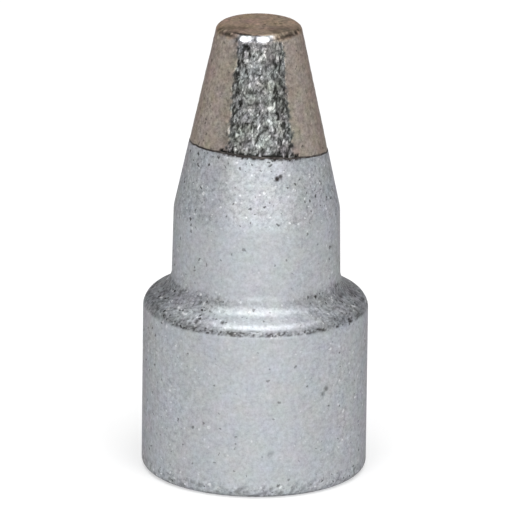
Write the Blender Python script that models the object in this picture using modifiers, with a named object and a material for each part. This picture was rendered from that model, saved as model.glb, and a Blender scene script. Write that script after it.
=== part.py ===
"""Desoldering tip: one body turned from a single bar, standing on its flat rear seat.

The tip has a round collar, a shoulder eased into a slightly tapered neck, and a blunt cone.
Matt grey plating covers it up to a slanting line on the cone, and tin covers the working end.
A socket, a wide channel and a narrow suction hole run up the inside from the rear seat.
The tin closes the mouth of the hole, so the hole stops just under the working face.

Metres, +Z up the axis, origin in the middle of the rear seat.
"""

import math

import bmesh
import bpy
from mathutils import Vector

MM = 0.001

# Outer form, from the rear seat up
COLLAR_LENGTH = 6.5 * MM
NECK_LENGTH = 3.1 * MM
CONE_LENGTH = 6.75 * MM
NECK_DIAMETER = 6.0 * MM
SHOULDER_STEP = 1.0 * MM
NECK_TAPER_DEGREES = 0.9
FACE_DIAMETER = 3.0 * MM

# Rounded corners of the outer form
REAR_ROUND = 0.3 * MM
SHOULDER_ROUND = 0.5 * MM
NECK_FILLET = 0.5 * MM
CONE_BLEND = 0.4 * MM
RIM_ROUND = 0.25 * MM

# Inside, from the rear seat up
COLLAR_WALL = 1.5 * MM
SOCKET_CHAMFER = 0.25 * MM
SOCKET_DEPTH = 4.5 * MM
CHANNEL_DIAMETER = 2.4 * MM
HOLE_DIAMETER = 1.3 * MM
HOLE_LENGTH = 5.1 * MM
TIN_PLUG = 0.4 * MM
DRILL_POINT_DEGREES = 118.0

# Edge of the plating: its depth under the working face, and the slant of its plane
TIN_LENGTH = 4.45 * MM
TIN_SLANT_DEGREES = 7.0
TIN_LOW_SIDE_DEGREES = 59.0

# Fineness of the turned surface
TURN_STEPS = 72
ARC_STEP_DEGREES = 12.0
MERGE_DISTANCE = 0.001 * MM
SHARP_EDGE_DEGREES = 25.0

COLLECTION_NAME = "desoldering_tip"
NODE_NAME = "nozzle"


def remove_old_objects():
    """Start from an empty scene."""
    for old in list(bpy.data.objects):
        bpy.data.objects.remove(old, do_unlink=True)


def outer_corners():
    """Corners (radius, height, rounding) down the outside, from the axis at the working face."""
    neck_radius = NECK_DIAMETER / 2
    collar_radius = neck_radius + SHOULDER_STEP
    cone_start = COLLAR_LENGTH + NECK_LENGTH
    length = cone_start + CONE_LENGTH
    neck_top_radius = neck_radius - NECK_LENGTH * math.tan(math.radians(NECK_TAPER_DEGREES))
    return [
        (0.0, length, 0.0),
        (FACE_DIAMETER / 2, length, RIM_ROUND),
        (neck_top_radius, cone_start, CONE_BLEND),
        (neck_radius, COLLAR_LENGTH, NECK_FILLET),
        (collar_radius, COLLAR_LENGTH, SHOULDER_ROUND),
        (collar_radius, 0.0, REAR_ROUND),
    ]


def inner_corners():
    """Corners (radius, height, rounding) up the inside, from the rear seat to the axis."""
    socket_radius = NECK_DIAMETER / 2 + SHOULDER_STEP - COLLAR_WALL
    channel_radius = CHANNEL_DIAMETER / 2
    hole_radius = HOLE_DIAMETER / 2
    point_rise = 1 / math.tan(math.radians(DRILL_POINT_DEGREES / 2))
    channel_start = SOCKET_DEPTH + (socket_radius - channel_radius) * point_rise
    hole_end = COLLAR_LENGTH + NECK_LENGTH + CONE_LENGTH - TIN_PLUG
    hole_start = hole_end - HOLE_LENGTH
    channel_end = hole_start - (channel_radius - hole_radius) * point_rise
    return [
        (socket_radius + SOCKET_CHAMFER, 0.0, 0.0),
        (socket_radius, SOCKET_CHAMFER, 0.0),
        (socket_radius, SOCKET_DEPTH, 0.0),
        (channel_radius, channel_start, 0.0),
        (channel_radius, channel_end, 0.0),
        (hole_radius, hole_start, 0.0),
        (hole_radius, hole_end - hole_radius * point_rise, 0.0),
        (0.0, hole_end, 0.0),
    ]


def tangent_lengths(points, roundings):
    """How far each rounding reaches along its two sides, limited by the room on each side."""
    lengths = [0.0] * len(points)
    for i in range(1, len(points) - 1):
        back = points[i - 1] - points[i]
        ahead = points[i + 1] - points[i]
        lengths[i] = roundings[i] / math.tan(back.angle(ahead) / 2)
    for i in range(len(points) - 1):
        room = (points[i + 1] - points[i]).length
        wanted = lengths[i] + lengths[i + 1]
        if wanted > room:
            lengths[i] *= room / wanted
            lengths[i + 1] *= room / wanted
    return lengths


def corner_arc(before, corner, after, reach):
    """Points on the arc that touches both sides of a corner at the given reach from it."""
    back = (before - corner).normalized()
    ahead = (after - corner).normalized()
    half_angle = back.angle(ahead) / 2
    centre = corner + (back + ahead).normalized() * (reach / math.cos(half_angle))
    start = corner + back * reach - centre
    turn = start.angle_signed(corner + ahead * reach - centre)
    steps = max(2, math.ceil(abs(math.degrees(turn)) / ARC_STEP_DEGREES))
    points = []
    for i in range(steps + 1):
        angle = -turn * i / steps
        spoke = Vector((
            start.x * math.cos(angle) - start.y * math.sin(angle),
            start.x * math.sin(angle) + start.y * math.cos(angle),
        ))
        points.append(centre + spoke)
    return points


def outline(corners):
    """The turned outline: sharp corners kept, rounded ones replaced by arcs."""
    points = [Vector((radius, height)) for radius, height, rounding in corners]
    reaches = tangent_lengths(points, [rounding for radius, height, rounding in corners])
    line = []
    for i, point in enumerate(points):
        if reaches[i] > 0.0:
            line.extend(corner_arc(points[i - 1], point, points[i + 1], reaches[i]))
        else:
            line.append(point)
    clean = [line[0]]
    for point in line[1:]:
        if (point - clean[-1]).length > MERGE_DISTANCE:
            clean.append(point)
    return clean


def turned_object(name, line):
    """Spin an outline once round Z with a Screw modifier, merged on the axis and at the seam."""
    mesh = bpy.data.meshes.new(name + "_outline")
    verts = [(point.x, 0.0, point.y) for point in line]
    edges = [(i, i + 1) for i in range(len(line) - 1)]
    mesh.from_pydata(verts, edges, [])
    turned = bpy.data.objects.new(name + "_outline", mesh)
    screw = turned.modifiers.new("turn", "SCREW")
    screw.axis = "Z"
    screw.angle = 2 * math.pi
    screw.steps = TURN_STEPS
    screw.render_steps = TURN_STEPS
    screw.use_merge_vertices = True
    screw.merge_threshold = MERGE_DISTANCE
    return turned


def as_mesh(name, live, collection):
    """Turn an object with live modifiers into one that holds the finished mesh."""
    collection.objects.link(live)
    depsgraph = bpy.context.evaluated_depsgraph_get()
    mesh = bpy.data.meshes.new_from_object(live.evaluated_get(depsgraph), depsgraph=depsgraph)
    mesh.name = name
    outline_mesh = live.data
    bpy.data.objects.remove(live, do_unlink=True)
    bpy.data.meshes.remove(outline_mesh)
    finished = bpy.data.objects.new(name, mesh)
    collection.objects.link(finished)
    return finished


def metal(name, colour, roughness):
    """A plain metal finish."""
    material = bpy.data.materials.new(name)
    material.use_nodes = True
    shader = material.node_tree.nodes["Principled BSDF"]
    shader.inputs["Base Color"].default_value = (*colour, 1.0)
    shader.inputs["Metallic"].default_value = 1.0
    shader.inputs["Roughness"].default_value = roughness
    material.diffuse_color = (*colour, 1.0)
    return material


def is_outside(face):
    """Whether a face of the turned body looks away from the axis, or up along it."""
    centre = face.calc_center_median()
    face.normal_update()
    away = Vector((centre.x, centre.y, 0.0))
    return face.normal.dot(away.normalized()) > 0.0 or face.normal.z > 0.5


def coat_working_end(tip):
    """Cut the surface along the slanting edge of the plating and put the tin above it."""
    tip.data.materials.append(metal("matt_grey_plating", (0.55, 0.58, 0.61), 0.55))
    tip.data.materials.append(metal("tin", (0.42, 0.38, 0.34), 0.35))
    slant = math.tan(math.radians(TIN_SLANT_DEGREES))
    low_side = math.radians(TIN_LOW_SIDE_DEGREES)
    up = Vector((slant * math.cos(low_side), slant * math.sin(low_side), 1.0)).normalized()
    centre = Vector((0.0, 0.0, COLLAR_LENGTH + NECK_LENGTH + CONE_LENGTH - TIN_LENGTH))
    shape = bmesh.new()
    shape.from_mesh(tip.data)
    outside = [face for face in shape.faces if is_outside(face)]
    geometry = set(outside)
    for face in outside:
        geometry.update(face.verts)
        geometry.update(face.edges)
    bmesh.ops.bisect_plane(shape, geom=list(geometry), dist=MERGE_DISTANCE, plane_co=centre, plane_no=up)
    for face in shape.faces:
        above = (face.calc_center_median() - centre).dot(up) > 0.0
        face.material_index = 1 if above and is_outside(face) else 0
    shape.to_mesh(tip.data)
    shape.free()


def build():
    """Make the tip in a collection of its own."""
    remove_old_objects()
    collection = bpy.data.collections.new(COLLECTION_NAME)
    bpy.context.scene.collection.children.link(collection)
    line = outline(outer_corners() + inner_corners())
    tip = as_mesh(NODE_NAME, turned_object(NODE_NAME, line), collection)
    coat_working_end(tip)
    tip.data.shade_smooth()
    tip.data.set_sharp_from_angle(angle=math.radians(SHARP_EDGE_DEGREES))
    return tip


build()
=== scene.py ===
"""Looks of a desoldering tip: satin chrome, a dipped working end, and a small studio.

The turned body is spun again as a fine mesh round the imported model, with the tin's ripples,
the rough shoulder and the pits in its surface, and stands on a pale floor in soft light.
The piece is modelled in millimetres, and the finished mesh is scaled to metres.
"""

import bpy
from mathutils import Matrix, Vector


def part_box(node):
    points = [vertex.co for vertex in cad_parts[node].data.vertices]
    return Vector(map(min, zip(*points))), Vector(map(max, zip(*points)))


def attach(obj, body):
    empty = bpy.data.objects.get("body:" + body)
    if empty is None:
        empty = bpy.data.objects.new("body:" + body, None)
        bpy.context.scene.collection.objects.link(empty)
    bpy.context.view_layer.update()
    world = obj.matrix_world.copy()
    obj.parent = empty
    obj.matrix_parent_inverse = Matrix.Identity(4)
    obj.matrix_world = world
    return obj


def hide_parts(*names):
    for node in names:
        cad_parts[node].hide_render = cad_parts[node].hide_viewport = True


bl_info = {
    "name": "Desoldering Tip",
    "version": (1, 0, 0),
    "blender": (4, 5, 0),
    "location": "View3D > Sidebar > Desoldering Tip",
    "description": "Models and finishes a turned, plated and tinned desoldering tip in a small studio",
    "category": "Object",
}

import math
from types import SimpleNamespace

import bmesh
import bpy
from bpy.props import FloatProperty, FloatVectorProperty, IntProperty, PointerProperty
from mathutils import Matrix, Vector, noise

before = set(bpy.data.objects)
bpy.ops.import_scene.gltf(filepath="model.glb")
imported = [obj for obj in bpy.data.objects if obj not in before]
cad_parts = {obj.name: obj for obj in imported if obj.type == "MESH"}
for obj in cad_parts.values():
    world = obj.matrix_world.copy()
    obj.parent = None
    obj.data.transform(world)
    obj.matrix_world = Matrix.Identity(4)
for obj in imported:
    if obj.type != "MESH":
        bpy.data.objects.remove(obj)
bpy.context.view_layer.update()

MM = 0.001
NODE = "nozzle"
BODY = "root"

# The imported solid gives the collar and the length, in millimetres
NODE_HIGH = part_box(NODE)[1]
LENGTH = NODE_HIGH.z / MM
COLLAR_RADIUS = NODE_HIGH.x / MM


def linear(hex_colour):
    """An sRGB hex colour as linear red, green and blue."""
    channels = [int(hex_colour[i:i + 2], 16) / 255 for i in (0, 2, 4)]
    return tuple(c / 12.92 if c <= 0.04045 else ((c + 0.055) / 1.055) ** 2.4 for c in channels)


def length_property(name, value, description):
    """A length that a user may change, written here in millimetres and kept in metres."""
    return FloatProperty(
        name=name, description=description, default=value * MM, min=0.0, precision=5, unit="LENGTH"
    )


def colour_property(name, hex_colour, description):
    """A colour that a user may change."""
    return FloatVectorProperty(
        name=name, description=description, default=linear(hex_colour),
        size=3, subtype="COLOR", min=0.0, max=1.0,
    )


class TipSizes(bpy.types.PropertyGroup):
    """Sizes of the turned form and its finishes."""

    collar_length: length_property("Collar length", 6.5, "Rear seat to the top of the shoulder")
    cone_start: length_property("Cone start", 9.6, "Rear seat to the foot of the cone")
    neck_foot_radius: length_property("Neck foot radius", 3.0, "Radius of the neck at the shoulder")
    neck_top_radius: length_property("Neck top radius", 2.951, "Radius of the neck at the cone")
    face_radius: length_property("Face radius", 1.5, "Radius of the working face with a sharp rim")
    shoulder_fall: length_property(
        "Shoulder fall", 0.53, "How far the shoulder falls from the neck to the collar"
    )
    neck_fillet: length_property(
        "Neck fillet", 0.45, "How far the fillet at the neck's foot reaches from its corner"
    )
    shoulder_round: length_property(
        "Shoulder round", 0.31, "How far the shoulder's rounding reaches from its corner"
    )
    rear_round: length_property("Rear round", 0.3, "Rounding of the rear edge")
    rim_round: length_property("Rim round", 0.2, "How far the rounding of the rim reaches from its corner")
    cone_blend: length_property("Cone blend", 0.12, "How far the blend at the cone's foot reaches")
    seat_radius: length_property("Seat inner radius", 2.75, "Inner radius of the rear seat")
    socket_radius: length_property("Socket radius", 2.5, "Radius of the socket")
    socket_depth: length_property("Socket depth", 4.5, "Depth of the socket")
    channel_radius: length_property("Channel radius", 1.2, "Radius of the suction channel")
    hole_radius: length_property("Hole radius", 0.65, "Radius of the suction hole")
    hole_length: length_property("Hole length", 5.1, "Length of the suction hole")
    plug: length_property("Tin plug", 0.4, "Tin between the hole and the working face")
    tin_length: length_property("Tin length", 4.45, "Working face to the edge of the chrome, on the axis")
    line_width: length_property(
        "Edge line width", 0.065, "Width of the flux line along the edge of the chrome"
    )
    ripple: length_property("Ripple depth", 0.02, "Depth of the broad ripples in the tin")
    bead: length_property("Bead height", 0.095, "How far the beads of tin on the rim stand out")
    shoulder_pits: length_property("Pit depth", 0.035, "Depth of the pits round the foot of the shoulder")
    turn_steps: IntProperty(
        name="Turn steps", description="Facets round the body", default=380, min=24, max=720
    )


class TipColours(bpy.types.PropertyGroup):
    """Colours of the finishes."""

    chrome: colour_property("Chrome", "AEB1B5", "Satin chrome on the collar, neck and cone")
    tin: colour_property("Tin", "A1978E", "Dipped tin with a thin film of old flux")
    # The grey of the strip at the front of the cone, under its painted dark reflection and painted glints
    strip_tin: colour_property("Bare tin", "8D8E8D", "Tin wiped bare on one side of the cone")
    # Bright clean tin at the front of the rim, partly a painted highlight
    highlit_clean_tin: colour_property("Clean tin", "B3B5B8", "Tin rubbed clean on the rim")
    chrome_edge: colour_property("Chrome edge", "A29C9C", "Chrome's reflection at a grazing angle")
    tin_edge: colour_property("Tin edge", "B1ACAA", "Tin's reflection at a grazing angle")
    face: colour_property("Working face", "C3AD9B", "Browned tin on the working face")
    # The white of the bright crystals and sparkles, partly painted glints
    crystal_glint: colour_property("Crystals", "EDEEF0", "Bright crystals in the worn chrome")
    flux: colour_property("Flux", "312D2B", "Burnt flux in pits and along the edge of the chrome")
    thin_flux: colour_property("Thin flux", "55514E", "Burnt flux where it is thinnest")
    # Soot and flux in hollows, also the colour of the painted dark reflection on the strip and of the
    # painted shade on the rim
    soot_and_painted_shade: colour_property("Soot", "1E1E1C", "Soot and flux in the hollows of the tin")
    bore: colour_property("Bore", "7E7F81", "Drilled metal inside")


def in_millimetres(settings):
    """The lengths among the sizes in millimetres, and the facets as they are."""
    values = {name: getattr(settings, name) for name in TipSizes.__annotations__}
    for name, value in values.items():
        if isinstance(value, float):
            values[name] = round(value / MM, 4)
    return SimpleNamespace(**values)


def add_node(tree, kind, settings=None, **sockets):
    """Add one node: its settings, its input values, and links where a value is another node's output."""
    node = tree.nodes.new(kind)
    for name, value in (settings or {}).items():
        setattr(node, name, value)
    for name, value in sockets.items():
        key = int(name[1:]) if name[0] == "_" else name.replace("_", " ")
        if isinstance(value, bpy.types.NodeSocket):
            tree.links.new(value, node.inputs[key])
        else:
            node.inputs[key].default_value = value
    return node


def new_finish(name, colour, roughness, metallic=1.0):
    """A material, its node tree, its shader, and the place on the piece in millimetres."""
    material = bpy.data.materials.new(name)
    material.use_nodes = True
    tree = material.node_tree
    shader = tree.nodes["Principled BSDF"]
    shader.inputs["Base Color"].default_value = (*colour, 1.0)
    shader.inputs["Metallic"].default_value = metallic
    shader.inputs["Roughness"].default_value = roughness
    coordinates = add_node(tree, "ShaderNodeTexCoord")
    place = add_node(
        tree, "ShaderNodeMapping", None,
        Vector=coordinates.outputs["Object"], Scale=(1 / MM, 1 / MM, 1 / MM),
    )
    return material, tree, shader, place.outputs[0]


def add_specks(tree, place, wear, pitch, rare, common):
    """Small spots of unequal size in some cells of a pattern, in more of them where the skin is worn.

    The cells are one pitch across, in millimetres, and the spots 0.2 to 0.7 of it. The share of cells that
    hold a spot goes from rare, where there is no wear, to common, and a share below nought is none.
    """
    stir = add_node(tree, "ShaderNodeTexNoise", None, Vector=place, Scale=1.2 / pitch, Detail=1.0)
    stirred = add_node(
        tree, "ShaderNodeVectorMath", {"operation": "MULTIPLY_ADD"},
        _0=stir.outputs["Color"], _1=(pitch, pitch, pitch), _2=place,
    )
    cells = add_node(tree, "ShaderNodeTexVoronoi", None, Vector=stirred.outputs[0], Scale=1 / pitch)
    draw = add_node(tree, "ShaderNodeSeparateColor", None, Color=cells.outputs["Color"])
    share = add_node(tree, "ShaderNodeMapRange", None, Value=wear, To_Min=rare, To_Max=common)
    chosen = add_node(
        tree, "ShaderNodeMath", {"operation": "LESS_THAN"}, _0=draw.outputs[0], _1=share.outputs[0]
    )
    reach = add_node(tree, "ShaderNodeMapRange", None, Value=draw.outputs[1], To_Min=0.1, To_Max=0.36)
    inside = add_node(
        tree, "ShaderNodeMath", {"operation": "SUBTRACT"}, _0=reach.outputs[0], _1=cells.outputs["Distance"]
    )
    spot = add_node(
        tree, "ShaderNodeMath", {"operation": "MULTIPLY", "use_clamp": True}, _0=inside.outputs[0], _1=8.0
    )
    return add_node(
        tree, "ShaderNodeMath", {"operation": "MULTIPLY"}, _0=spot.outputs[0], _1=chosen.outputs[0]
    ).outputs[0]


def add_painted_flake_glints(tree, place):
    """Brightness of crumpled flakes of tin: most are dull, a few are bright as painted glints, and their
    seams are dark as painted shade.
    """
    stir = add_node(tree, "ShaderNodeTexNoise", None, Vector=place, Scale=3.0, Detail=1.0)
    stirred = add_node(
        tree, "ShaderNodeVectorMath", {"operation": "MULTIPLY_ADD"},
        _0=stir.outputs["Color"], _1=(0.3, 0.3, 0.3), _2=place,
    )
    # The flakes are 0.1 mm wide and 0.2 mm tall
    drawn_out = add_node(
        tree, "ShaderNodeMapping", None, Vector=stirred.outputs[0], Scale=(1.0, 1.0, 0.5)
    )
    flakes = add_node(tree, "ShaderNodeTexVoronoi", None, Vector=drawn_out.outputs[0], Scale=10.0)
    seams = add_node(
        tree, "ShaderNodeTexVoronoi", {"feature": "DISTANCE_TO_EDGE"},
        Vector=drawn_out.outputs[0], Scale=10.0,
    )
    draw = add_node(tree, "ShaderNodeSeparateColor", None, Color=flakes.outputs["Color"])
    rare = add_node(tree, "ShaderNodeMath", {"operation": "POWER"}, _0=draw.outputs[0], _1=3.0)
    lit = add_node(
        tree, "ShaderNodeMath", {"operation": "MULTIPLY_ADD"}, _0=rare.outputs[0], _1=1.3, _2=0.75
    )
    seam_shade = add_node(
        tree, "ShaderNodeMapRange", None,
        Value=seams.outputs["Distance"], From_Max=0.2, To_Min=0.5, To_Max=1.0,
    )
    return add_node(
        tree, "ShaderNodeMath", {"operation": "MULTIPLY"}, _0=lit.outputs[0], _1=seam_shade.outputs[0]
    ).outputs[0]


def make_chrome(colours):
    """Satin chrome: a hard bright plate over a blasted skin, so it looks pale, even and frosted.

    It is coarser on the cone, round the shoulder and at the rear edge, where heat and handling worked
    on it, and it greys where flux was burnt on. Round the sides of the shoulder the grey is partly painted
    shade, and its bright specks are partly painted glints.
    """
    material, tree, shader, place = new_finish("satin_chrome", colours.chrome, 0.5)
    # Frosted plate doesn't brighten at a grazing angle as a clean mirror does
    shader.inputs["Specular Tint"].default_value = (*colours.chrome_edge, 1.0)
    wear = add_node(tree, "ShaderNodeAttribute", {"attribute_name": "wear"}).outputs["Fac"]
    grime_and_shade = add_node(tree, "ShaderNodeAttribute", {"attribute_name": "grime_and_shade"}).outputs["Fac"]
    # The blasted grain is about 0.03 mm across, drawn at 0.15 mm so that it shows
    grain = add_node(tree, "ShaderNodeTexNoise", None, Vector=place, Scale=6.5, Detail=4.0, Roughness=0.85)
    # Plating takes on a bluish or a warm cast in patches about a millimetre across
    cast = add_node(tree, "ShaderNodeTexNoise", None, Vector=place, Scale=1.1, Detail=4.0, Roughness=0.7)
    contrast = add_node(tree, "ShaderNodeMapRange", None, Value=wear, To_Min=0.75, To_Max=2.8)
    swing = add_node(
        tree, "ShaderNodeMapRange", {"clamp": False},
        Value=grain.outputs["Fac"], From_Min=0.3, From_Max=0.7, To_Min=-0.22, To_Max=0.22,
    )
    shade = add_node(
        tree, "ShaderNodeMath", {"operation": "MULTIPLY_ADD"},
        _0=swing.outputs[0], _1=contrast.outputs[0], _2=1.0,
    )
    tint = add_node(
        tree, "ShaderNodeVectorMath", {"operation": "MULTIPLY_ADD"},
        _0=cast.outputs["Color"], _1=(0.2, 0.16, 0.21), _2=(0.9, 0.92, 0.895),
    )
    tinted = add_node(
        tree, "ShaderNodeVectorMath", {"operation": "MULTIPLY"}, _0=tint.outputs[0], _1=tuple(colours.chrome)
    )
    colour = add_node(
        tree, "ShaderNodeVectorMath", {"operation": "SCALE"}, _0=tinted.outputs[0], Scale=shade.outputs[0]
    )
    # Bright crystals up to 0.12 mm across and sparkles up to 0.2 mm where it is most worn, both partly
    # painted glints, and dark pinholes
    crystal_glints = add_specks(tree, place, wear, 0.17, 0.02, 0.65)
    painted_sparkles = add_specks(tree, place, wear, 0.3, -1.6, 0.5)
    pinholes = add_specks(tree, place, wear, 0.19, 0.02, 0.8)
    brightness = add_node(tree, "ShaderNodeMapRange", None, Value=wear, To_Min=0.25, To_Max=0.8)
    faint = add_node(
        tree, "ShaderNodeMath", {"operation": "MULTIPLY"}, _0=crystal_glints, _1=brightness.outputs[0]
    )
    glint = add_node(
        tree, "ShaderNodeMath", {"operation": "MULTIPLY_ADD", "use_clamp": True},
        _0=painted_sparkles, _1=0.9, _2=faint.outputs[0],
    )
    frosted = add_node(
        tree, "ShaderNodeMix", {"data_type": "RGBA"},
        _0=glint.outputs[0], _6=colour.outputs[0], _7=(*colours.crystal_glint, 1.0),
    )
    darkness = add_node(tree, "ShaderNodeMapRange", None, Value=wear, To_Min=0.4, To_Max=0.95)
    hole = add_node(
        tree, "ShaderNodeMath", {"operation": "MULTIPLY"}, _0=pinholes, _1=darkness.outputs[0]
    )
    dirt_and_shade = add_node(tree, "ShaderNodeMath", {"operation": "MAXIMUM"}, _0=grime_and_shade, _1=hole.outputs[0])
    soiled_and_shaded = add_node(
        tree, "ShaderNodeMix", {"data_type": "RGBA"},
        _0=dirt_and_shade.outputs[0], _6=frosted.outputs[2], _7=(*colours.flux, 1.0),
    )
    tree.links.new(soiled_and_shaded.outputs[2], shader.inputs["Base Color"])
    rough = add_node(
        tree, "ShaderNodeMapRange", None,
        Value=grain.outputs["Fac"], From_Min=0.3, From_Max=0.7, To_Min=0.47, To_Max=0.53,
    )
    tree.links.new(rough.outputs[0], shader.inputs["Roughness"])
    bump = add_node(
        tree, "ShaderNodeBump", None, Strength=0.8, Distance=0.006 * MM, Height=grain.outputs["Fac"]
    )
    tree.links.new(bump.outputs[0], shader.inputs["Normal"])
    return material


def make_tin(colours):
    """Dipped tin over iron: rippled, with a dull beige film of flux, and a strip at the front wiped bare and
    mottled, its dark mottling a painted reflection and its bright flakes painted glints.

    Heat has browned the working face and its rim and left them matt, and use has rubbed the rim clean
    and bright at the front, where its brightness is partly a painted highlight.
    """
    material, tree, shader, place = new_finish("dipped_tin", colours.tin, 0.3)
    shader.inputs["Specular Tint"].default_value = (*colours.tin_edge, 1.0)
    bare_and_painted_reflection = add_node(tree, "ShaderNodeAttribute", {"attribute_name": "bare_and_painted_reflection"}).outputs["Fac"]
    grime_and_shade = add_node(tree, "ShaderNodeAttribute", {"attribute_name": "grime_and_shade"}).outputs["Fac"]
    browned = add_node(tree, "ShaderNodeAttribute", {"attribute_name": "browned"}).outputs["Fac"]
    polished_and_highlit = add_node(tree, "ShaderNodeAttribute", {"attribute_name": "polished_and_highlit"}).outputs["Fac"]
    # The tin's grain is drawn at 0.12 mm, and the clouds in its film of flux at 0.6 mm
    grain = add_node(tree, "ShaderNodeTexNoise", None, Vector=place, Scale=8.0, Detail=3.0, Roughness=0.7)
    cloud = add_node(tree, "ShaderNodeTexNoise", None, Vector=place, Scale=1.6, Detail=3.0, Roughness=0.6)
    shade = add_node(
        tree, "ShaderNodeMapRange", {"clamp": False},
        Value=grain.outputs["Fac"], From_Min=0.3, From_Max=0.7, To_Min=0.6, To_Max=1.33,
    )
    wiped = add_node(
        tree, "ShaderNodeMix", {"data_type": "RGBA"},
        _0=bare_and_painted_reflection, _6=(*colours.tin, 1.0), _7=(*colours.strip_tin, 1.0),
    )
    rubbed = add_node(
        tree, "ShaderNodeMix", {"data_type": "RGBA"},
        _0=polished_and_highlit, _6=wiped.outputs[2], _7=(*colours.highlit_clean_tin, 1.0),
    )
    heated = add_node(
        tree, "ShaderNodeMix", {"data_type": "RGBA"},
        _0=browned, _6=rubbed.outputs[2], _7=(*colours.face, 1.0),
    )
    tint = add_node(
        tree, "ShaderNodeVectorMath", {"operation": "MULTIPLY_ADD"},
        _0=cloud.outputs["Color"], _1=(0.24, 0.28, 0.34), _2=(0.88, 0.86, 0.83),
    )
    tinted = add_node(
        tree, "ShaderNodeVectorMath", {"operation": "MULTIPLY"}, _0=heated.outputs[2], _1=tint.outputs[0]
    )
    # The strip's flakes carry painted glints, the rest of the tin its grain
    grain_and_glints = add_node(
        tree, "ShaderNodeMix", {"data_type": "FLOAT"},
        _0=bare_and_painted_reflection, _2=shade.outputs[0], _3=add_painted_flake_glints(tree, place),
    )
    colour = add_node(
        tree, "ShaderNodeVectorMath", {"operation": "SCALE"}, _0=tinted.outputs[0], Scale=grain_and_glints.outputs[0]
    )
    # Pinholes in the tin, up to 0.14 mm across
    pinholes = add_specks(tree, place, 0.5, 0.2, 0.45, 0.45)
    hole = add_node(tree, "ShaderNodeMath", {"operation": "MULTIPLY"}, _0=pinholes, _1=0.6)
    dirt_and_shade = add_node(tree, "ShaderNodeMath", {"operation": "MAXIMUM"}, _0=grime_and_shade, _1=hole.outputs[0])
    soiled_and_shaded = add_node(
        tree, "ShaderNodeMix", {"data_type": "RGBA"},
        _0=dirt_and_shade.outputs[0], _6=colour.outputs[0], _7=(*colours.soot_and_painted_shade, 1.0),
    )
    tree.links.new(soiled_and_shaded.outputs[2], shader.inputs["Base Color"])
    rough = add_node(
        tree, "ShaderNodeMapRange", None,
        Value=cloud.outputs["Fac"], From_Min=0.3, From_Max=0.7, To_Min=0.25, To_Max=0.35,
    )
    dulled = add_node(
        tree, "ShaderNodeMath", {"operation": "MULTIPLY_ADD"}, _0=browned, _1=0.15, _2=rough.outputs[0]
    )
    tree.links.new(dulled.outputs[0], shader.inputs["Roughness"])
    bump = add_node(
        tree, "ShaderNodeBump", None, Strength=0.5, Distance=0.01 * MM, Height=grain.outputs["Fac"]
    )
    tree.links.new(bump.outputs[0], shader.inputs["Normal"])
    return material


def make_flux_line(colours):
    """Burnt flux: a thin matt char, nearly black, that gathers along the edge of the chrome."""
    material, tree, shader, place = new_finish("burnt_flux", colours.flux, 0.8, 0.0)
    shader.inputs["Specular IOR Level"].default_value = 0.25
    patches = add_node(tree, "ShaderNodeTexNoise", None, Vector=place, Scale=3.5, Detail=2.0)
    amount = add_node(
        tree, "ShaderNodeMapRange", None, Value=patches.outputs["Fac"], From_Min=0.45, From_Max=0.65
    )
    colour = add_node(
        tree, "ShaderNodeMix", {"data_type": "RGBA"},
        _0=amount.outputs[0], _6=(*colours.flux, 1.0), _7=(*colours.thin_flux, 1.0),
    )
    tree.links.new(colour.outputs[2], shader.inputs["Base Color"])
    return material


def make_bore(colours):
    """Drilled iron under a thin plate: dull grey, with the drill's rings every 0.15 mm."""
    material, tree, shader, place = new_finish("drilled_bore", colours.bore, 0.5)
    along = add_node(tree, "ShaderNodeSeparateXYZ", None, Vector=place)
    upright = add_node(tree, "ShaderNodeCombineXYZ", None, Z=along.outputs["Z"])
    rings = add_node(tree, "ShaderNodeTexNoise", None, Vector=upright.outputs[0], Scale=6.5, Detail=2.0)
    rough = add_node(
        tree, "ShaderNodeMapRange", None,
        Value=rings.outputs["Fac"], From_Min=0.3, From_Max=0.7, To_Min=0.4, To_Max=0.6,
    )
    tree.links.new(rough.outputs[0], shader.inputs["Roughness"])
    bump = add_node(
        tree, "ShaderNodeBump", None, Strength=0.6, Distance=0.01 * MM, Height=rings.outputs["Fac"]
    )
    tree.links.new(bump.outputs[0], shader.inputs["Normal"])
    return material


# The angle of a drill's point, and the width of the ring of the working face that has close rows
DRILL_POINT = math.radians(118)
CLOSE_RING = 0.4


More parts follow.
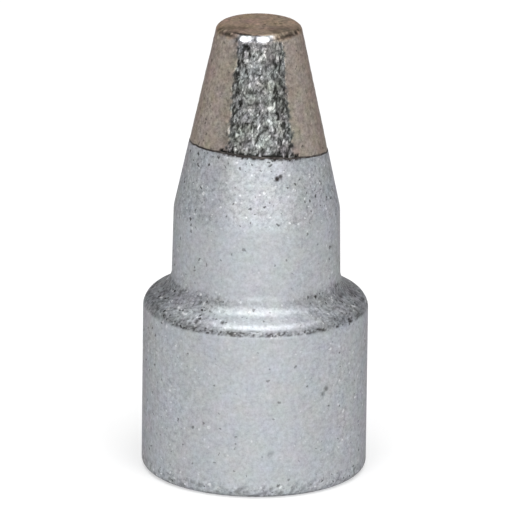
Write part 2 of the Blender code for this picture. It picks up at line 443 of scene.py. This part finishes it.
def profile_wire(shape, sizes):
    """The turned outline as a wire: corners first, then the rounded ones bevelled.

    Each corner has its radius, its height, the reach of its rounding, and the rounding's segments.
    """
    hole_end = LENGTH - sizes.plug
    hole_start = hole_end - sizes.hole_length
    drill_rise = 1 / math.tan(DRILL_POINT / 2)
    socket_end = sizes.socket_depth + (sizes.socket_radius - sizes.channel_radius) * drill_rise
    channel_end = hole_start - (sizes.channel_radius - sizes.hole_radius) * drill_rise
    corners = [
        (0.0, LENGTH, 0.0, 0),
        (sizes.face_radius - CLOSE_RING, LENGTH, 0.0, 0),
        (sizes.face_radius, LENGTH, sizes.rim_round, 9),
        (sizes.neck_top_radius, sizes.cone_start, sizes.cone_blend, 4),
        (sizes.neck_foot_radius, sizes.collar_length + sizes.shoulder_fall / 2, sizes.neck_fillet, 10),
        (COLLAR_RADIUS, sizes.collar_length - sizes.shoulder_fall / 2, sizes.shoulder_round, 10),
        (COLLAR_RADIUS, 0.0, sizes.rear_round, 9),
        (sizes.seat_radius, 0.0, 0.0, 0),
        (sizes.socket_radius, sizes.seat_radius - sizes.socket_radius, 0.0, 0),
        (sizes.socket_radius, sizes.socket_depth, 0.0, 0),
        (sizes.channel_radius, socket_end, 0.0, 0),
        (sizes.channel_radius, channel_end, 0.0, 0),
        (sizes.hole_radius, hole_start, 0.0, 0),
        (sizes.hole_radius, hole_end - sizes.hole_radius * drill_rise, 0.0, 0),
        (0.0, hole_end, 0.0, 0),
    ]
    points = [shape.verts.new((radius, 0.0, height)) for radius, height, reach, segments in corners]
    for start, end in zip(points, points[1:]):
        shape.edges.new((start, end))
    for point, (radius, height, reach, segments) in zip(points, corners):
        if reach > 0.0:
            bmesh.ops.bevel(
                shape, geom=[point], offset=reach, offset_type="OFFSET", segments=segments,
                profile=0.5, affect="VERTICES", material=-1,
            )
    for height, _ in ROW_BANDS[:-1]:
        bmesh.ops.bisect_plane(
            shape, geom=shape.verts[:] + shape.edges[:], dist=0.0001,
            plane_co=(0.0, 0.0, height), plane_no=(0.0, 0.0, 1.0),
        )
    for edge in list(shape.edges):
        middle = (edge.verts[0].co + edge.verts[1].co) / 2
        cuts = math.ceil(edge.calc_length() / row_pitch(middle, sizes)) - 1
        if cuts > 0:
            bmesh.ops.subdivide_edges(shape, edges=[edge], cuts=cuts)


def on_skin(place, sizes):
    """Whether a place on the surface is on the outside, and not in the bore."""
    wall = sizes.seat_radius if place.z < sizes.collar_length - 0.5 else sizes.channel_radius
    return place.z > LENGTH - sizes.plug / 2 or place.xy.length > wall + 0.05


# Bands of the skin from the rear up: the top of each, and the distance between its rows, which is
# short where the skin has relief
ROW_BANDS = (
    (0.75, 0.08),
    (3.5, 0.24),
    (4.1, 0.08),
    (5.75, 0.24),
    (7.3, 0.055),
    (11.1, 0.24),
    (LENGTH, 0.06),
)


def row_pitch(middle, sizes):
    """Distance between rows of the mesh at the middle of an edge of the outline."""
    if not on_skin(middle, sizes):
        return 0.8
    if middle.z > LENGTH - 0.01:
        return 0.15 if middle.x < sizes.face_radius - CLOSE_RING else 0.05
    return next(pitch for top, pitch in ROW_BANDS if middle.z < top)


def spin_body(sizes):
    """Spin the outline into the closed body."""
    shape = bmesh.new()
    profile_wire(shape, sizes)
    bmesh.ops.spin(
        shape, geom=shape.verts[:] + shape.edges[:], cent=(0, 0, 0), axis=(0, 0, 1),
        angle=2 * math.pi, steps=sizes.turn_steps, use_merge=True,
    )
    bmesh.ops.remove_doubles(shape, verts=shape.verts[:], dist=0.002)
    bmesh.ops.recalc_face_normals(shape, faces=shape.faces[:])
    return shape


# The edge of the chrome slants by this rise over run, and is lowest at this angle from +X towards +Y
TIN_SLANT = 0.123
TIN_LOW_SIDE = math.radians(59)


def fade(value, start, end):
    """Nought at start, one at end, smooth between them and level beyond both."""
    part = min(max((value - start) / (end - start), 0.0), 1.0)
    return part * part * (3 - 2 * part)


def waves(place, pitch, stretch=1.0):
    """Smooth noise from nought to one, whose waves are about two pitches long."""
    return 0.5 + 0.5 * noise.noise(Vector((place.x, place.y, place.z / stretch)) / pitch)


def direction(azimuth, elevation):
    """A unit vector so many degrees round from the camera's side, and so many degrees up."""
    a = math.radians(azimuth)
    e = math.radians(elevation)
    return Vector((math.sin(a) * math.cos(e), -math.cos(a) * math.cos(e), math.sin(e)))


def edge_shift(place, sizes):
    """What to add to a place's height to get its height above the edge of the chrome.

    The edge slants, and wavers a little.
    """
    around = Vector((place.x, place.y, 0.0)).normalized()
    slant = TIN_SLANT * (place.x * math.cos(TIN_LOW_SIDE) + place.y * math.sin(TIN_LOW_SIDE))
    waver = 0.03 * noise.noise(around * 4.0) + 0.02 * noise.noise(around * 13.0)
    return sizes.tin_length - LENGTH + slant + waver


# The body's finishes, in the order of its material slots
CHROME, TIN, LINE, BORE = range(4)


def share_finishes(shape, sizes):
    """Cut the skin along both sides of the flux line, and give each face its finish.

    The body is sheared for the cuts, so that the slanting line lies level at nought.
    """
    for vert in shape.verts:
        vert.co.z += edge_shift(vert.co, sizes)
    for level in (-sizes.line_width / 2, sizes.line_width / 2):
        centres = [(face, face.calc_center_median()) for face in shape.faces]
        outside = sizes.channel_radius + 0.1
        band = [face for face, centre in centres if abs(centre.z) < 0.3 and centre.xy.length > outside]
        parts = dict.fromkeys(part for face in band for part in (face, *face.verts, *face.edges))
        bmesh.ops.bisect_plane(
            shape, geom=list(parts), dist=0.001, plane_co=(0.0, 0.0, level), plane_no=(0.0, 0.0, 1.0)
        )
    heights = [face.calc_center_median().z for face in shape.faces]
    for vert in shape.verts:
        vert.co.z -= edge_shift(vert.co, sizes)
    shape.normal_update()
    for face, height in zip(shape.faces, heights):
        centre = face.calc_center_median()
        face.smooth = True
        if not on_skin(centre, sizes):
            face.material_index = BORE
        elif abs(height) < sizes.line_width / 2:
            face.material_index = LINE
        else:
            face.material_index = TIN if height > 0 else CHROME


# Chips and specks that the tip shows: degrees round from the front, height, radius, depth and darkness
CHIPS = (
    (-16.0, 15.95, 0.11, 0.012, 1.0),
    (-13.5, 15.89, 0.1, 0.012, 0.95),
    (-30.5, 16.14, 0.08, 0.02, 0.8),
    (-7.8, 16.28, 0.11, 0.02, 0.65),
    (15.9, 11.39, 0.1, 0.02, 1.0),
    (18.9, 11.46, 0.08, 0.02, 0.9),
    (-18.4, 6.4, 0.06, 0.02, 0.7),
    (-33.4, 6.32, 0.08, 0.02, 0.7),
    (39.2, 3.86, 0.11, 0.01, 0.55),
    (37.2, 3.68, 0.10, 0.01, 0.4),
    (8.5, 1.62, 0.12, 0.0, 0.25),
)

# Two beads of tin on the rim, melted flat on top: degrees round from the front, half the width in
# degrees, the degrees round and up that the flat faces, and its depth below the sharp corner
BEADS = (
    (-21.0, 12.0, -9.0, 41.0, 0.07),
    (6.5, 14.5, 4.0, 41.0, 0.066),
)

# What is noted at each vertex of the skin, from nought to one
LAYERS = ("grime_and_shade", "bare_and_painted_reflection", "browned", "polished_and_highlit", "wear")

# Degrees round from the front: the middle and half the width of the strip, wiped bare and painted with dark
# reflections, the middle of the run of bright tin beside it, and the middle of the part of the rim that heat
# hasn't browned, which is painted bright under the lamp's highlight
STRIP_MIDDLE = 2.0
STRIP_HALF = 30.0
RUN_MIDDLE = 31.0
RIM_HIGHLIGHT_MIDDLE = -5.0

# How far the ring of pits lies below the middle of the shoulder
PIT_RING = 0.405


def flake_relief(place, from_middle, below_face):
    """The strip's bright tilted flakes on dark ground: their depth, and how dark the painted dark reflection
    between them leaves a place.
    """
    pushes = [noise.noise(place / 0.3 + Vector((shift, shift, shift))) for shift in (0.0, 11.3, 23.7)]
    stirred = place + 0.12 * Vector(pushes)
    flake_place = Vector((stirred.x, stirred.y, stirred.z / 1.8)) / 0.09
    centre = noise.voronoi(flake_place)[1][0]
    flake = 0.5 + 0.5 * noise.cell(centre * 9.0)
    tilt = (noise.cell_vector(centre * 7.0) - Vector((0.5, 0.5, 0.5))).dot(flake_place - centre)
    mottle = 0.3 * flake + 0.35 * waves(stirred, 0.06, 1.5) + 0.35 * waves(stirred, 0.17, 1.6)
    border = 0.08 * fade(from_middle, 8.0, 24.0) - 0.08 * fade(below_face, 0.9, 0.4)
    return 0.012 * flake + 0.035 * tilt, 1.0 - fade(mottle - border, 0.27, 0.62)


def rim_marks(place, sizes, azimuth, below_face, flaked):
    """What heat and use have left on the working face and its rim: grime, browning and polish, with painted
    shade on the rounding and a painted highlight at the front.
    """
    radius = place.xy.length
    on_rim = fade(radius, sizes.face_radius - 0.16, sizes.face_radius - 0.08)
    spared_for_highlight = 1.0 - fade(abs(azimuth - RIM_HIGHLIGHT_MIDDLE), 20.0, 36.0)
    # The browned face runs down over the rim, but not at the front, where the rim is rubbed clean and
    # painted bright under the lamp's highlight
    browned = 0.0
    if below_face <= 0.5:
        foot = 0.1 + 0.16 * waves(place, 0.2)
        browned = max(
            1.0 - on_rim,
            (1.0 - fade(below_face, foot - 0.06, foot + 0.08)) * (1.0 - spared_for_highlight),
        )
    polished_and_highlit = spared_for_highlight * (1.0 - flaked) * on_rim
    # A line of flux on the face along its rim, and soot below the browned rim on the front half, partly
    # painted shade over the rounding's highlight
    grime_and_shade = 0.0
    if below_face < 0.06:
        line = math.exp(-((radius - sizes.face_radius + 0.12) / 0.06) ** 2)
        line *= fade(-azimuth, -10.0, 5.0) * (1.0 - fade(-azimuth, 40.0, 60.0))
        grime_and_shade = line * (0.75 + 0.4 * waves(place, 0.15))
    # Painted shade over the rim's rounding, on the front half only
    soot_and_painted_shade = math.exp(-((below_face - 0.09) / 0.1) ** 2) * (1.0 - spared_for_highlight) * fade(-place.y, 0.1, 0.6)
    return max(grime_and_shade, soot_and_painted_shade * fade(waves(place, 0.17), 0.2, 0.5) * 0.85), browned, polished_and_highlit


def tin_relief(place, sizes, azimuth):
    """The dipped tin: depth of its ripples and flakes, grime and painted shade, the strip's bareness,
    browning, and polish that is partly a painted highlight.
    """
    below_face = LENGTH - place.z
    above_edge = place.z + edge_shift(place, sizes)
    rippled = 1.0 - 0.85 * fade(place.z, LENGTH - 0.02, LENGTH - 0.001)
    depth = rippled * sizes.ripple * (waves(place, 0.15, 1.5) + 0.35 * waves(place, 0.075, 1.3))
    # The strip at the front, wiped bare and painted with dark reflections, has ragged borders, and ends
    # below the rim
    from_middle = abs(azimuth - STRIP_MIDDLE)
    inside = STRIP_HALF + 9.0 * (waves(place, 0.16) - 0.5) - from_middle
    flaked = fade(below_face + 0.2 * (waves(place, 0.12) - 0.5), 0.2, 0.3)
    bare_and_painted_reflection = fade(inside, -2.0, 2.0) * flaked
    flake_depth, flake_painted_dark = flake_relief(place, from_middle, below_face)
    depth += bare_and_painted_reflection * rippled * flake_depth
    # The dark ground between the strip's flakes is a painted reflection of dark surroundings
    grime_and_shade = bare_and_painted_reflection * 0.97 * flake_painted_dark * fade(below_face, 0.2, 0.34)
    # A run of bright tin beside it, high on the right
    run = fade(2.2 + 3.0 * (waves(place, 0.2) - 0.5) - abs(azimuth - RUN_MIDDLE), 0.0, 1.5)
    run *= fade(below_face, 0.5, 0.7) * (1.0 - fade(below_face, 1.15, 1.35))
    bare_and_painted_reflection = max(bare_and_painted_reflection, run)
    grime_and_shade *= 1.0 - run
    # The tin is a little darker on the right
    grime_and_shade = max(grime_and_shade, 0.07 * fade(azimuth, 25.0, 45.0) * fade(below_face, 0.2, 0.5))
    # Flux burnt black under the wiped side
    burnt_foot = fade(0.06 + 0.14 * waves(place, 0.1) - abs(above_edge - 0.02), 0.0, 0.05)
    grime_and_shade = max(grime_and_shade, burnt_foot * fade(inside, -14.0, -2.0) * fade(waves(place, 0.12), 0.33, 0.5))
    rim_dirt_and_shade, browned, polished_and_highlit = rim_marks(place, sizes, azimuth, below_face, flaked)
    return depth, max(grime_and_shade, rim_dirt_and_shade), bare_and_painted_reflection, browned, polished_and_highlit


def chrome_relief(place, sizes, azimuth):
    """The worn chrome and the pits at the foot of the shoulder: depth, grime with painted shade, and wear.
    """
    depth = 0.0
    # The sides and the cone are more worn than the front, in patches about 2 mm across
    aside = fade(abs(azimuth), 12.0, 60.0) * (1.0 - 0.5 * fade(abs(azimuth), 80.0, 130.0))
    patches = waves(place, 0.9)
    on_cone = fade(place.z, sizes.cone_start - 0.15, sizes.cone_start + 0.25)
    wear = 0.12 + 0.55 * aside * patches + 0.5 * on_cone * (0.55 + 0.6 * patches)
    # So is the rear edge, which is grimy as well
    rear = 1.0 - fade(place.z, 0.32, 0.55 + 0.25 * waves(place, 0.3))
    wear += rear * (0.2 + 0.5 * waves(place, 0.4))
    grime_and_shade = 0.45 * rear * fade(waves(place, 0.13), 0.45, 0.75)
    wear = min(wear, 0.75)
    # The shoulder is worn most, and pocked, and darker away from the front: partly real pocking, partly
    # painted shade
    above = place.z - sizes.collar_length
    shoulder = fade(above, -0.55, -0.4) * (1.0 - fade(above, 0.45, 0.8))
    if shoulder > 0.0:
        worn_and_shaded = 0.15 + 0.85 * fade(abs(azimuth - 5.0), 12.0, 48.0)
        pocked = fade(0.65 * waves(place, 0.11) + 0.35 * waves(place, 0.5), 0.5, 0.64)
        depth += shoulder * worn_and_shaded * 0.003 * pocked
        # Painted shade: the dark pocking thins out at the front, where the lamp's highlight falls, and the
        # sides are darkened further
        grime_and_shade += shoulder * worn_and_shaded * 0.45 * pocked + 0.05 * shoulder * fade(abs(azimuth), 45.0, 75.0)
        wear = max(wear, shoulder * (0.2 + 0.8 * worn_and_shaded))
    ring = fade(0.115 - abs(above + PIT_RING - 0.1 * (waves(place, 0.2) - 0.5)), 0.0, 0.06)
    ring *= 1.0 - 0.7 * fade(abs(azimuth - 8.0), 50.0, 75.0)
    if ring > 0.02:
        pit = fade(0.7 * waves(place, 0.08) + 0.3 * waves(place, 0.3), 0.45, 0.62)
        depth += ring * sizes.shoulder_pits * pit
        grime_and_shade = max(grime_and_shade, ring * (0.2 + 0.65 * pit))
        wear = max(wear, 0.9 * ring)
    return depth, grime_and_shade, wear


def relief(place, sizes):
    """How deep the finish lies under the turned surface at a place, and the other values of LAYERS."""
    azimuth = math.degrees(math.atan2(place.x, -place.y))
    above_edge = place.z + edge_shift(place, sizes)
    if above_edge > -0.1:
        depth, grime_and_shade, bare_and_painted_reflection, browned, polished_and_highlit = tin_relief(place, sizes, azimuth)
        depth *= fade(above_edge, -0.05, 0.05)
        # The last of the chrome, under the flux line, is worn
        wear = 0.8
    else:
        depth, grime_and_shade, wear = chrome_relief(place, sizes, azimuth)
        bare_and_painted_reflection, browned, polished_and_highlit = 0.0, 0.0, 0.0
    for chip_azimuth, height, radius, chip_depth, darkness in CHIPS:
        aside = place.xy.length * math.radians(azimuth - chip_azimuth)
        inward = max(sizes.face_radius - 0.1 - place.xy.length, 0.0)
        away = math.hypot(aside, place.z - height, inward) / radius
        if away < 1.5:
            depth += chip_depth * fade(away, 1.3, 0.3)
            grime_and_shade = max(grime_and_shade, darkness * fade(away, 1.3, 0.5))
    return max(depth, 0.0), min(grime_and_shade, 1.0), bare_and_painted_reflection, browned, polished_and_highlit, min(wear, 1.0)


def swell_rim(place, sizes):
    """Swell the rim into the small beads that melted tin has left there."""
    around = math.degrees(math.atan2(place.x, -place.y))
    for azimuth, half_width, facing_azimuth, rise, cut in BEADS:
        inside = fade(half_width - abs(around - azimuth), -1.0, 1.5)
        if inside > 0.0 and place.z > LENGTH - 0.6:
            away = math.hypot((around - azimuth) / half_width, (place.z - LENGTH + 0.2) / 0.23)
            swell = sizes.bead * fade(1.0 - away, 0.0, 0.8) / place.xy.length
            place = place + Vector((place.x, place.y, 0.0)) * swell
            facing = direction(facing_azimuth, rise)
            corner = direction(azimuth, 0.0) * sizes.face_radius + Vector((0.0, 0.0, LENGTH))
            place = place - facing * inside * max((place - corner).dot(facing) + cut, 0.0)
    return place


def roughen_skin(shape, sizes):
    """Sink the ripples, pits and chips into the skin, and note its state for the materials."""
    layers = [shape.verts.layers.float.new(name) for name in LAYERS]
    for vert in shape.verts:
        if vert.co.z > 0.02 and on_skin(vert.co, sizes):
            depth, *notes = relief(vert.co, sizes)
            for layer, note in zip(layers, notes):
                vert[layer] = note
            vert.co = swell_rim(vert.co - vert.normal * depth, sizes)


class TIP_OT_turned_body(bpy.types.Operator):
    """Model the turned body and finish it in chrome and tin"""

    bl_idname = "tip.turned_body"
    bl_label = "Turned body"

    def execute(self, context):
        sizes = in_millimetres(context.scene.tip_sizes)
        colours = context.scene.tip_colours
        shape = spin_body(sizes)
        share_finishes(shape, sizes)
        roughen_skin(shape, sizes)
        bmesh.ops.scale(shape, vec=(MM, MM, MM), verts=shape.verts[:])
        mesh = bpy.data.meshes.new("tip_body")
        shape.to_mesh(mesh)
        shape.free()
        body = bpy.data.objects.new("tip_body", mesh)
        context.scene.collection.objects.link(body)
        for make in (make_chrome, make_tin, make_flux_line, make_bore):
            mesh.materials.append(make(colours))
        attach(body, BODY)
        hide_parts(NODE)
        return {"FINISHED"}


# The photograph's camera, fitted to the outline: degrees up, roll, millimetres from the middle of the tip,
# and the scale, side and middle of its picture in pixels
CAMERA_ELEVATION = 17.6
CAMERA_ROLL = math.radians(0.726)
CAMERA_DISTANCE = 425.9
PIXELS_PER_MM = 28.177
IMAGE_SIDE = 510
CENTRE_PIXEL = (256.38, 244.72)

# Lamps: degrees round from the camera, degrees up, distance, width and height in mm, and radiance
LAMPS = (
    ("high_lamp", 7, 66, 350, 330, 190, 2.8),
    ("top_lamp", 0, 88, 400, 300, 260, 1.6),
    ("low_left_lamp", -21, 9, 300, 272, 105, 2.65),
    ("low_right_lamp", 25, 9, 300, 272, 105, 2.75),
    ("left_side_lamp", -84, 8, 300, 320, 84, 0.42),
    ("right_side_lamp", 84, 8, 300, 320, 84, 0.6),
)

# Screens: degrees round from the camera, degrees they spread, lower and upper edge and distance in mm,
# and shade
SCREENS = (
    ("front_screen", 0, 120, 0, 400, 500, 0.02),
    ("back_screen", 180, 240, 0, 700, 650, 0.38),
)

# Half the floor's side in metres, its colour, and how much it glows for the camera
FLOOR_HALF = 1.2
FLOOR_COLOUR = linear("D7D7D7")
FLOOR_GLOW = 0.41

# How strongly the white world lights matt surfaces, while it looks white itself
WORLD_LIGHT = 0.4


def add_camera(scene):
    """The camera at the photograph's angle: 17.6 degrees above the horizon, from far away."""
    camera = bpy.data.cameras.new("photo_camera")
    camera.lens = camera.sensor_width * CAMERA_DISTANCE * PIXELS_PER_MM / IMAGE_SIDE
    camera.clip_start = 0.01
    camera.clip_end = 10.0
    holder = bpy.data.objects.new("photo_camera", camera)
    scene.collection.objects.link(holder)
    scene.camera = holder
    back = direction(0.0, CAMERA_ELEVATION)
    turn = (-back).to_track_quat("-Z", "Y").to_matrix().to_4x4() @ Matrix.Rotation(CAMERA_ROLL, 4, "Z")
    aside = (IMAGE_SIDE / 2 - CENTRE_PIXEL[0]) / PIXELS_PER_MM
    above = (CENTRE_PIXEL[1] - IMAGE_SIDE / 2) / PIXELS_PER_MM
    centre = Vector((0.0, 0.0, LENGTH / 2)) + back * CAMERA_DISTANCE
    centre += turn.to_3x3() @ Vector((aside, above, 0.0))
    holder.matrix_world = Matrix.Translation(centre * MM) @ turn


def add_lamp(scene, name, azimuth, elevation, distance, width, height, radiance):
    """A soft rectangular lamp that faces the middle of the tip."""
    lamp = bpy.data.lights.new(name, "AREA")
    lamp.shape = "RECTANGLE"
    lamp.size = width * MM
    lamp.size_y = height * MM
    lamp.energy = radiance * math.pi * lamp.size * lamp.size_y
    holder = bpy.data.objects.new(name, lamp)
    scene.collection.objects.link(holder)
    back = direction(azimuth, elevation)
    holder.location = (Vector((0.0, 0.0, LENGTH / 2)) + back * distance) * MM
    holder.rotation_euler = (-back).to_track_quat("-Z", "Y").to_euler()
    holder.visible_camera = False


def add_screen(scene, name, azimuth, spread, low, high, distance, shade):
    """A curved card of one shade that only reflections see."""
    shape = bmesh.new()
    bottom = shape.verts.new((0.0, -distance, low))
    top = shape.verts.new((0.0, -distance, high))
    edge = shape.edges.new((bottom, top))
    start = Matrix.Rotation(math.radians(azimuth - spread / 2), 3, "Z")
    bmesh.ops.rotate(shape, verts=shape.verts[:], cent=(0, 0, 0), matrix=start)
    bmesh.ops.spin(
        shape, geom=[bottom, top, edge], cent=(0, 0, 0), axis=(0, 0, 1), angle=math.radians(spread), steps=24
    )
    bmesh.ops.scale(shape, vec=(MM, MM, MM), verts=shape.verts[:])
    mesh = bpy.data.meshes.new(name)
    shape.to_mesh(mesh)
    shape.free()
    card = bpy.data.objects.new(name, mesh)
    scene.collection.objects.link(card)
    material = bpy.data.materials.new(name + "_card")
    material.use_nodes = True
    shader = material.node_tree.nodes["Principled BSDF"]
    shader.inputs["Base Color"].default_value = (0, 0, 0, 1)
    shader.inputs["Specular IOR Level"].default_value = 0.0
    shader.inputs["Emission Color"].default_value = (shade, shade, shade, 1)
    shader.inputs["Emission Strength"].default_value = 1.0
    mesh.materials.append(material)
    card.visible_camera = False
    card.visible_diffuse = False
    card.visible_shadow = False
    card.visible_transmission = False


def seen_rays(tree):
    """One for rays from the camera, from gloss and through glass, and nought for the rest."""
    path = add_node(tree, "ShaderNodeLightPath")
    glossy = add_node(
        tree, "ShaderNodeMath", {"operation": "MAXIMUM"},
        _0=path.outputs["Is Camera Ray"], _1=path.outputs["Is Glossy Ray"],
    )
    seen = add_node(
        tree, "ShaderNodeMath", {"operation": "MAXIMUM"},
        _0=glossy.outputs[0], _1=path.outputs["Is Transmission Ray"],
    )
    return seen.outputs[0]


def add_floor(scene):
    """A pale matt floor that takes soft shadows and otherwise looks as white as the world behind it."""
    shape = bmesh.new()
    bmesh.ops.create_grid(shape, x_segments=1, y_segments=1, size=FLOOR_HALF)
    mesh = bpy.data.meshes.new("floor")
    shape.to_mesh(mesh)
    shape.free()
    floor = bpy.data.objects.new("floor", mesh)
    scene.collection.objects.link(floor)
    material = bpy.data.materials.new("pale_floor")
    material.use_nodes = True
    tree = material.node_tree
    shader = tree.nodes["Principled BSDF"]
    shader.inputs["Base Color"].default_value = (*FLOOR_COLOUR, 1.0)
    shader.inputs["Roughness"].default_value = 1.0
    shader.inputs["Specular IOR Level"].default_value = 0.0
    glow = add_node(
        tree, "ShaderNodeMath", {"operation": "MULTIPLY"}, _0=seen_rays(tree), _1=FLOOR_GLOW
    )
    shader.inputs["Emission Color"].default_value = (1, 1, 1, 1)
    tree.links.new(glow.outputs[0], shader.inputs["Emission Strength"])
    mesh.materials.append(material)


def add_world(scene):
    """A white world that lights matt surfaces more faintly than it looks."""
    world = bpy.data.worlds.new("studio")
    world.use_nodes = True
    scene.world = world
    tree = world.node_tree
    background = tree.nodes["Background"]
    strength = add_node(
        tree, "ShaderNodeMapRange", None, Value=seen_rays(tree), To_Min=WORLD_LIGHT, To_Max=1.0
    )
    background.inputs["Color"].default_value = (1, 1, 1, 1)
    tree.links.new(strength.outputs[0], background.inputs["Strength"])


class TIP_OT_stage(bpy.types.Operator):
    """Set up the floor, the lamps, the world and the camera"""

    bl_idname = "tip.stage"
    bl_label = "Studio"

    def execute(self, context):
        scene = context.scene
        scene.view_settings.view_transform = "Standard"
        add_camera(scene)
        add_floor(scene)
        add_world(scene)
        for lamp in LAMPS:
            add_lamp(scene, *lamp)
        for screen in SCREENS:
            add_screen(scene, *screen)
        return {"FINISHED"}


class TIP_PT_panel(bpy.types.Panel):
    """Lists the piece, the studio, and the sizes and colours"""

    bl_idname = "TIP_PT_panel"
    bl_label = "Desoldering Tip"
    bl_space_type = "VIEW_3D"
    bl_region_type = "UI"
    bl_category = "Desoldering Tip"

    def draw(self, context):
        scene = context.scene
        self.layout.operator(TIP_OT_turned_body.bl_idname)
        self.layout.operator(TIP_OT_stage.bl_idname)
        for group, settings in ((TipSizes, scene.tip_sizes), (TipColours, scene.tip_colours)):
            for name in group.__annotations__:
                self.layout.prop(settings, name)


CLASSES = (TipSizes, TipColours, TIP_OT_turned_body, TIP_OT_stage, TIP_PT_panel)


def register():
    """Add the classes and the scene's settings."""
    for cls in CLASSES:
        bpy.utils.register_class(cls)
    bpy.types.Scene.tip_sizes = PointerProperty(type=TipSizes)
    bpy.types.Scene.tip_colours = PointerProperty(type=TipColours)


def unregister():
    """Remove what register added."""
    del bpy.types.Scene.tip_colours
    del bpy.types.Scene.tip_sizes
    for cls in reversed(CLASSES):
        bpy.utils.unregister_class(cls)


def main():
    """Make the tip and its studio."""
    register()
    bpy.ops.tip.turned_body()
    bpy.ops.tip.stage()


if __name__ == "__main__":
    main()
